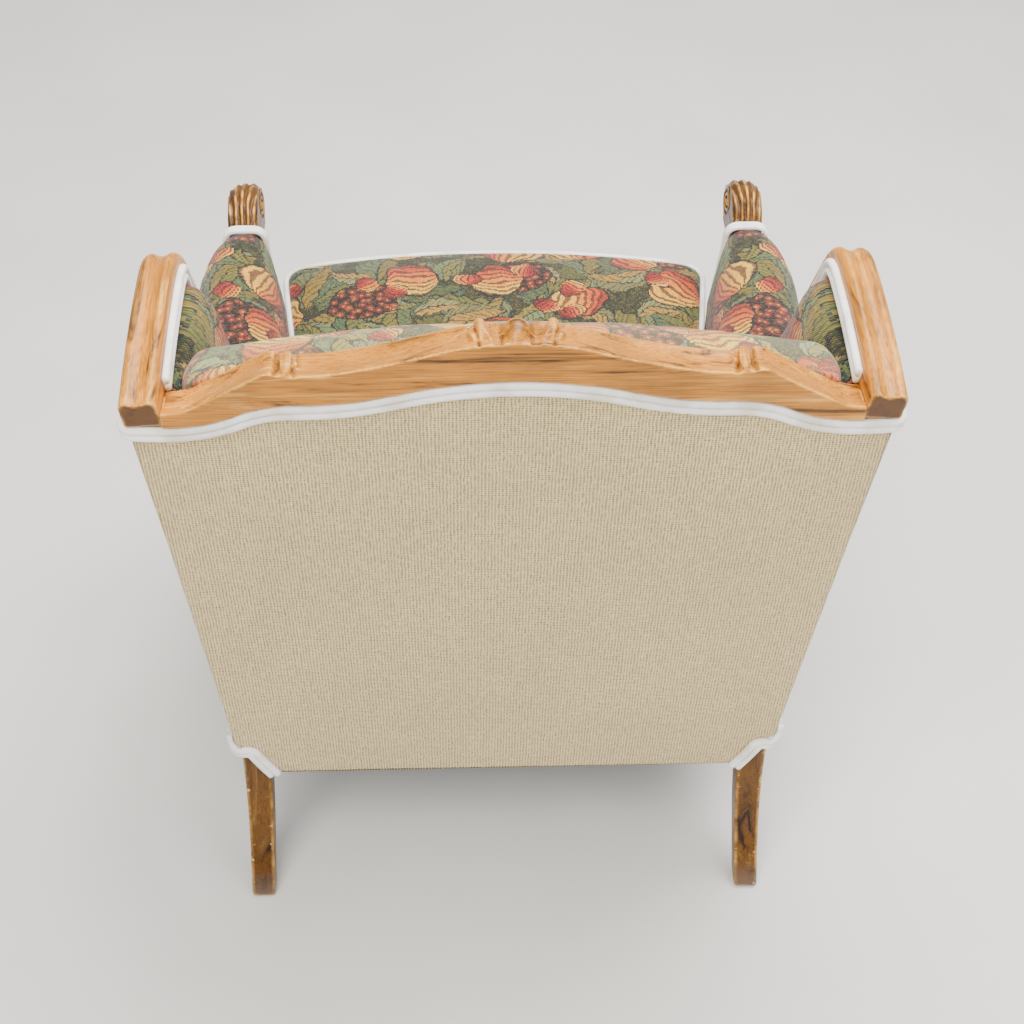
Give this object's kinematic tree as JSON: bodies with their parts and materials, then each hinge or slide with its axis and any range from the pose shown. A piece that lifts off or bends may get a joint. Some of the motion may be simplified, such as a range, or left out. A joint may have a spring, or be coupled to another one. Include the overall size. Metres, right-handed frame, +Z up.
{
  "type": "upholstered lounge chair",
  "caption": "Low-wing closed-arm lounge chair with carved wood frame, sprung padded back, arms and wings, double-welt trim and a loose piped seat cushion.",
  "frame": {"origin": "on the floor, at the middle of the box round the chair", "axes": "+Z up, the sitter faces -Y, the sitter's left is +X"},
  "size_m": [0.73, 0.7649, 0.9201],
  "materials": {
    "show_wood": "worn honey-brown satin lacquer",
    "frame_wood": "raw sawn hardwood",
    "tapestry": "ribbed woven fruit-and-leaf tapestry",
    "plain_cloth": "coarse basket weave",
    "welt_cord": "ivory cloth over cord",
    "burlap": "open jute weave",
    "deck_cloth": "plain cotton decking",
    "dust_cloth": "black non-woven cloth",
    "foam": "open-cell foam",
    "spring_steel": "oiled spring wire",
    "glide": "scuffed grey glide",
    "zip_tape": "woven zip tape"
  },
  "bodies": {
    "chair": {"wing_rail_left": "show_wood", "wing_rail_right": "show_wood", "rear_leg_left": "show_wood", "rear_leg_right": "show_wood", "front_leg_left": "show_wood", "front_leg_right": "show_wood", "arm_left": "show_wood", "arm_right": "show_wood", "arm_post_left": "show_wood", "arm_post_right": "show_wood", "side_rail_left": "frame_wood", "side_rail_right": "frame_wood", "side_tack_rail_left": "frame_wood", "side_tack_rail_right": "frame_wood", "wing_pad_left": "tapestry", "wing_pad_right": "tapestry", "arm_pad_left": "tapestry", "arm_pad_right": "tapestry", "outside_arm_left": "plain_cloth", "outside_arm_right": "plain_cloth", "outside_wing_left": "plain_cloth", "outside_wing_right": "plain_cloth", "wing_welt_left": "welt_cord", "wing_welt_right": "welt_cord", "outer_wing_welt_left": "welt_cord", "outer_wing_welt_right": "welt_cord", "arm_welt_left": "welt_cord", "arm_welt_right": "welt_cord", "leg_welt_left": "welt_cord", "leg_welt_right": "welt_cord", "crest_rail": "show_wood", "front_rail": "show_wood", "rear_rail": "frame_wood", "back_tack_rail": "frame_wood", "corner_blocks": "frame_wood", "corner_screws": "spring_steel", "frame_dowels": "frame_wood", "seat_springs": "spring_steel", "back_springs": "spring_steel", "spring_clips": "spring_steel", "seat_burlap": "burlap", "back_burlap": "burlap", "deck_pad": "deck_cloth", "deck_border": "tapestry", "inside_back_pad": "tapestry", "outside_back_panel": "plain_cloth", "back_welt": "welt_cord", "front_rail_welt": "welt_cord", "dust_cover": "dust_cloth", "leg_glides": "glide"},
    "cushion": {"cushion_cover": "tapestry", "cushion_foam": "foam", "cushion_piping_top": "welt_cord", "cushion_piping_bottom": "welt_cord", "cushion_zip": "zip_tape"}
  },
  "joints": [
    {"name": "cushion_lift", "type": "slide", "parent": "chair", "child": "cushion", "axis": [0, 0, 1], "range_m": [0, 0.3]}
  ]
}
